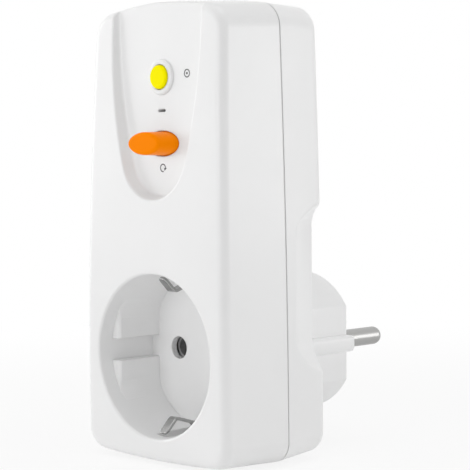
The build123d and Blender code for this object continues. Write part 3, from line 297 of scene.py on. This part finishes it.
def plastic(name, color, roughness, grain=0.05, shine=0.5, soft_edge=0.0):
    """Moulded plastic: faint flow marks in colour and gloss, and a very fine surface grain."""
    material, net, bsdf = new_material(
        name, color, roughness, IOR=PLASTIC_IOR, Specular_IOR_Level=shine
    )
    vary_color(net, bsdf, color, FLOW_SPREAD, FLOW_SCALE)
    vary_roughness(net, bsdf, roughness - GLOSS_SPREAD, roughness + GLOSS_SPREAD, GLOSS_SCALE)
    bump(net, bsdf, grain, RELIEF_DEPTH, GRAIN_SCALE, soft_edge=soft_edge)
    return material, net, bsdf


def moulded(name, **values):
    return plastic(name, **values)[0]


def dyed_with_painted_glow(name, color, roughness):
    """Dyed plastic with hardly any gloss and a painted glow in its own colour, whose bounced light
    is paler than itself.
    """
    material, net, bsdf = plastic(name, color, roughness, shine=DYE_SHINE)
    # Painted glow: the part gives off light in its own colour, though it is no lamp.
    bsdf.inputs["Emission Color"].default_value = (*color, 1)
    bsdf.inputs["Emission Strength"].default_value = PAINTED_GLOW
    varied = bsdf.inputs["Base Color"].links[0].from_socket
    path = net.add("ShaderNodeLightPath")
    pale = net.add("ShaderNodeMix", data_type="RGBA")
    pale.inputs["B"].default_value = (*BOUNCE_COLOR, 1)
    net.link(path.outputs["Is Diffuse Ray"], pale.inputs["Factor"])
    net.link(varied, pale.inputs["A"])
    net.link(pale.outputs["Result"], bsdf.inputs["Base Color"])
    return material


def metal(name, color, roughness, stretch=EVEN, scale=900, grain=0.15):
    """Plated or drawn metal, with fine lines along one way where it is stretched."""
    material, net, bsdf = new_material(name, color, roughness, Metallic=1.0)
    vary_color(net, bsdf, color, TARNISH_SPREAD, TARNISH_SCALE, stretch)
    vary_roughness(net, bsdf, roughness - SMOOTHER, roughness + ROUGHER, scale, stretch)
    bump(net, bsdf, grain, RELIEF_DEPTH, scale, stretch)
    return material


def soldered_board(name):
    """Board with solder resist over tracks that show as a faint relief."""
    material, net, bsdf = new_material(name, BOARD_COLOR, BOARD_ROUGHNESS, IOR=PLASTIC_IOR)
    vary_color(net, bsdf, BOARD_COLOR, BOARD_SPREAD, BOARD_SCALE, BOARD_STRETCH)
    bump(net, bsdf, TRACK_STRENGTH, TRACK_DEPTH, TRACK_SCALE, TRACK_STRETCH)
    return material


def make_materials():
    makers = ((moulded, PLASTICS), (dyed_with_painted_glow, PLASTICS_WITH_PAINTED_GLOW), (metal, METALS))
    made = {name: make(name, **values) for make, table in makers for name, values in table.items()}
    made["board"] = soldered_board("board")
    return made


def dress_nodes():
    """Gives each CAD node its slot's material. The socket's receptacles are tinned."""
    slot_of = {part["node"]: part["material_slot"] for part in frame["record"]["subparts"]}
    for name, node in nodes.items():
        for place in node.material_slots:
            place.material = materials[slot_of[name]]
    for name in TINNED_NODES:
        nodes[name].material_slots[0].material = materials["tinned_brass"]


def swept(name, parts, closed=False):
    """Mesh of bodies that are each given as rings of equally many points.

    An open body gets an end face at both ends. A closed one joins its last ring to its first.
    """
    verts, faces = [], []
    for rings in parts:
        first, size = len(verts), len(rings[0])
        last = first + size * (len(rings) - 1)
        verts += [point for ring in rings for point in ring]
        if not closed:
            faces += [tuple(range(first, first + size)), tuple(range(last, last + size))]
        for ring in range(len(rings) if closed else len(rings) - 1):
            low, high = first + size * ring, first + size * ((ring + 1) % len(rings))
            for corner in range(size):
                beside = (corner + 1) % size
                faces.append((low + corner, high + corner, high + beside, low + beside))
    mesh = bpy.data.meshes.new(name)
    mesh.from_pydata(verts, [], faces)
    shape = bmesh.new()
    shape.from_mesh(mesh)
    bmesh.ops.recalc_face_normals(shape, faces=shape.faces)
    shape.to_mesh(mesh)
    shape.free()
    mesh.shade_smooth()
    mesh.set_sharp_from_angle(angle=math.radians(SHARP_ANGLE))
    return mesh


def add_piece(name, parts, material, body="housing", closed=False):
    """Piece of swept parts that moves with a body."""
    mesh = swept(name, parts, closed)
    piece = bpy.data.objects.new(name, mesh)
    scene.collection.objects.link(piece)
    mesh.materials.append(materials[material])
    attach(piece, body)
    return piece


def eased(corners, reach):
    """Points of a route whose corners are eased by curves that start and end reach away."""
    points = [corners[0]]
    for before, corner, after in zip(corners, corners[1:], corners[2:]):
        start = corner + (before - corner).normalized() * reach
        end = corner + (after - corner).normalized() * reach
        for step in range(BEND_STEPS + 1):
            share = step / BEND_STEPS
            pull = 2 * share * (1 - share)
            points.append((1 - share) ** 2 * start + pull * corner + share**2 * end)
    return points + [corners[-1]]


def round_tip(first, second):
    """Stations from the strap's end towards its second point, with a round tip's half widths."""
    along = (second - first).normalized()
    tip = []
    for step in range(1, TIP_STEPS + 1):
        turn = math.radians(90 * step / TIP_STEPS)
        back = STRAP_HALF * (1 - math.cos(turn))
        tip.append((first + along * back, STRAP_HALF * math.sin(turn)))
    return tip


def add_earth_strap():
    lower = [Vector(point) for point in STRAP_HALF_ROUTE]
    upper = [Vector((y, -z)) for y, z in reversed(STRAP_HALF_ROUTE)]
    route = eased(lower + upper, STRAP_BEND / 2)
    start = round_tip(route[0], route[1])
    end = round_tip(route[-1], route[-2])
    stations = start + [(point, STRAP_HALF) for point in route[1:-1]] + end[::-1]
    rings = []
    for index, (point, half) in enumerate(stations):
        before = stations[max(index - 1, 0)][0]
        after = stations[min(index + 1, len(stations) - 1)][0]
        along = (after - before).normalized()
        out = Vector((-along.y, along.x)) * STRAP_THICKNESS / 2
        corners = ((-1, 1), (1, 1), (1, -1), (-1, -1))
        rings.append([(side * half, *(point + out * face)) for side, face in corners])
    strap = add_piece("earth_clips", [rings], "clip_nickel")
    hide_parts("socket_earth_strap")
    bevel = strap.modifiers.new("edge", "BEVEL")
    bevel.width = STRAP_EDGE
    bevel.segments = EDGE_SEGMENTS
    bevel.angle_limit = math.radians(SHARP_ANGLE)


def corner_ring(height, inset, side, up):
    """Section of one rounded corner at a height over the well's floor."""
    reach = WELL_R + height * WELL_TAPER - CORNER_R
    middle_x = FLAT_X - CORNER_R
    middle_z = math.sqrt(reach**2 - middle_x**2)
    turn = math.atan2(middle_z, middle_x)
    ring = []
    for radius, order in ((CORNER_R + inset, 1), (CORNER_R + CORNER_DEPTH, -1)):
        for step in range(CORNER_STEPS + 1)[::order]:
            angle = turn * step / CORNER_STEPS
            x = middle_x + radius * math.cos(angle)
            z = middle_z + radius * math.sin(angle)
            ring.append((side * x, WELL_FLOOR_Y - height, up * z))
    return ring


def add_well_corners():
    stations = ((0, 0), (FLAT_HEIGHT - FLAT_SLANT, 0), (FLAT_HEIGHT, FLAT_SLANT / 2))
    parts = [
        [corner_ring(height, inset, side, up) for height, inset in stations]
        for side in (-1, 1)
        for up in (-1, 1)
    ]
    add_piece("well_corners", parts, "corner_plastic")


def on_panel(place, radius, angle, rise):
    """Point at a polar place round a sign's centre, over or under the panel."""
    return (
        place[0] + radius * math.cos(math.radians(angle)),
        PANEL_Y - rise,
        place[1] + radius * math.sin(math.radians(angle)),
    )


def line_ring(place, angle):
    """Section of a sign's round line."""
    inner, outer = PRINT_R - PRINT_LINE, PRINT_R
    corners = (
        (inner, -PRINT_SUNK), (outer, -PRINT_SUNK), (outer, PRINT_PROUD), (inner, PRINT_PROUD)
    )
    return [on_panel(place, radius, angle, rise) for radius, rise in corners]


def add_signs():
    faces = (-PRINT_SUNK, PRINT_PROUD)
    turns = [FULL_TURN * step / SIGN_STEPS for step in range(SIGN_STEPS)]
    ring = [line_ring(TEST_SIGN, turn) for turn in turns]
    dot = [[on_panel(TEST_SIGN, DOT_R, turn, rise) for turn in turns] for rise in faces]
    arc_turns = [ARROW_TURN * step / SIGN_STEPS for step in range(SIGN_STEPS + 1)]
    arc = [line_ring(RESET_SIGN, turn) for turn in arc_turns]
    middle = PRINT_R - PRINT_LINE / 2
    point_turn = math.degrees(ARROW_LENGTH / middle)
    corners = ((middle - ARROW_HALF, 0), (middle + ARROW_HALF, 0), (middle, -point_turn))
    head = [
        [on_panel(RESET_SIGN, radius, turn, rise) for radius, turn in corners] for rise in faces
    ]
    add_piece("test_sign_ring", [ring], "grey_print", closed=True)
    add_piece("test_sign_dot", [dot], "grey_print")
    add_piece("reset_sign", [arc, head], "grey_print")


def coil_rings(low, high, wire, turns):
    """Sections of an open coil that fills a box, round an axis along Y."""
    middle = (Vector(low) + Vector(high)) / 2
    radius = (high[0] - low[0] - wire) / 2
    steps = turns * TURN_STEPS
    rise = (low[1] - high[1] + wire) / steps
    step_turn = math.tau / TURN_STEPS
    side_turns = [math.tau * side / WIRE_SIDES for side in range(WIRE_SIDES)]
    rings = []
    for step in range(steps + 1):
        out = Vector((math.cos(step * step_turn), 0, math.sin(step * step_turn)))
        along = Vector((-out.z * radius * step_turn, rise, out.x * radius * step_turn)).normalized()
        across = along.cross(out)
        level = high[1] - wire / 2 + rise * step
        place = Vector((middle.x, level, middle.z)) + out * radius
        rings.append([
            place + (out * math.cos(turn) + across * math.sin(turn)) * wire / 2
            for turn in side_turns
        ])
    return rings


def add_springs():
    """Coils in the nodes' places, each with a mesh of its own, while the nodes are hidden."""
    for node, (body, joint, wire, turns) in SPRINGS.items():
        low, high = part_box(node)
        rings = coil_rings(low, high, wire, turns)
        coil = add_piece(node + "_coil", [rings], "steel", body)
        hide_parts(node)
        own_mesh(coil)


def camera_axes(azimuth, elevation, roll):
    """Right, up and back of a camera that looks at its target from an azimuth and elevation."""
    azimuth, elevation, roll = map(math.radians, (azimuth, elevation, roll))
    level = math.cos(elevation)
    back = Vector((math.sin(azimuth) * level, -math.cos(azimuth) * level, math.sin(elevation)))
    right = Vector((math.cos(azimuth), math.sin(azimuth), 0))
    up = back.cross(right)
    rolled_right = right * math.cos(roll) + up * math.sin(roll)
    rolled_up = up * math.cos(roll) - right * math.sin(roll)
    return rolled_right, rolled_up, back


def add_camera():
    right, up, back = camera_axes(CAMERA_AZIMUTH, CAMERA_ELEVATION, CAMERA_ROLL)
    data = bpy.data.cameras.new("photo_camera")
    data.sensor_width = SENSOR_MM
    data.lens = FOCAL_PX / IMAGE_PX * SENSOR_MM
    data.clip_start = CLIP_NEAR
    data.clip_end = CLIP_FAR
    camera = bpy.data.objects.new("photo_camera", data)
    scene.collection.objects.link(camera)
    turn = Matrix((right, up, back)).transposed().to_4x4()
    camera.matrix_world = Matrix.Translation(CAMERA_TARGET + back * CAMERA_DISTANCE) @ turn
    scene.camera = camera


def seen_rays(net):
    """One for camera, glossy and transmission rays, nought for the rest."""
    path = net.add("ShaderNodeLightPath")
    mirrored = net.add("ShaderNodeMath", operation="MAXIMUM")
    seen = net.add("ShaderNodeMath", operation="MAXIMUM")
    net.link(path.outputs["Is Glossy Ray"], mirrored.inputs[0])
    net.link(path.outputs["Is Transmission Ray"], mirrored.inputs[1])
    net.link(mirrored.outputs[0], seen.inputs[0])
    net.link(path.outputs["Is Camera Ray"], seen.inputs[1])
    return seen.outputs[0]


def add_world():
    """Even grey light, with plain white as the background that the camera and gloss show."""
    world = bpy.data.worlds.new("studio")
    scene.world = world
    world.use_nodes = True
    net = Nodes(world.node_tree)
    strength = net.add("ShaderNodeMapRange")
    strength.inputs["To Min"].default_value = WORLD_LEVEL
    background = net.add("ShaderNodeBackground")
    background.inputs["Color"].default_value = (1, 1, 1, 1)
    output = net.add("ShaderNodeOutputWorld")
    net.link(seen_rays(net), strength.inputs["Value"])
    net.link(strength.outputs["Result"], background.inputs["Strength"])
    net.link(background.outputs["Background"], output.inputs["Surface"])


def floor_material():
    """White that shows the shadow near the part and fades to plain white away from it."""
    material = bpy.data.materials.new("floor")
    material.use_nodes = True
    net = Nodes(material.node_tree)
    diffuse = net.add("ShaderNodeBsdfDiffuse")
    diffuse.inputs["Color"].default_value = (*FLOOR_COLOR, 1)
    glow = net.add("ShaderNodeEmission")
    place = net.add("ShaderNodeTexCoord")
    distance = net.add("ShaderNodeVectorMath", operation="LENGTH")
    fade = net.add("ShaderNodeMapRange", interpolation_type="SMOOTHSTEP")
    fade.inputs["From Min"].default_value = SHADOW_RADIUS
    fade.inputs["From Max"].default_value = WHITE_RADIUS
    fade.inputs["To Min"].default_value = GLOW_NEAR
    share = net.add("ShaderNodeMath", operation="MULTIPLY")
    mix = net.add("ShaderNodeMixShader")
    output = net.add("ShaderNodeOutputMaterial")
    net.link(place.outputs["Object"], distance.inputs[0])
    net.link(distance.outputs["Value"], fade.inputs["Value"])
    net.link(seen_rays(net), share.inputs[0])
    net.link(fade.outputs["Result"], share.inputs[1])
    net.link(share.outputs[0], mix.inputs["Fac"])
    net.link(diffuse.outputs["BSDF"], mix.inputs[1])
    net.link(glow.outputs["Emission"], mix.inputs[2])
    net.link(mix.outputs["Shader"], output.inputs["Surface"])
    return material


def add_floor():
    mesh = bpy.data.meshes.new("floor")
    signs = [(-1, -1), (1, -1), (1, 1), (-1, 1)]
    verts = [(x * FLOOR_HALF, y * FLOOR_HALF, FLOOR_Z) for x, y in signs]
    mesh.from_pydata(verts, [], [(0, 1, 2, 3)])
    mesh.materials.append(floor_material())
    floor = bpy.data.objects.new("floor", mesh)
    scene.collection.objects.link(floor)


def add_lamps():
    for name, (place, size, power) in LAMPS.items():
        data = bpy.data.lights.new(name, "AREA")
        data.shape = "RECTANGLE"
        data.size, data.size_y = size
        data.energy = power
        light = bpy.data.objects.new(name, data)
        scene.collection.objects.link(light)
        light.location = place
        towards = Vector(place) - Vector(LAMP_TARGET)
        light.rotation_euler = towards.to_track_quat("Z", "Y").to_euler()


materials = make_materials()
dress_nodes()
add_earth_strap()
add_well_corners()
add_signs()
add_springs()

scene.view_settings.view_transform = "Standard"
add_camera()
add_world()
add_floor()
add_lamps()
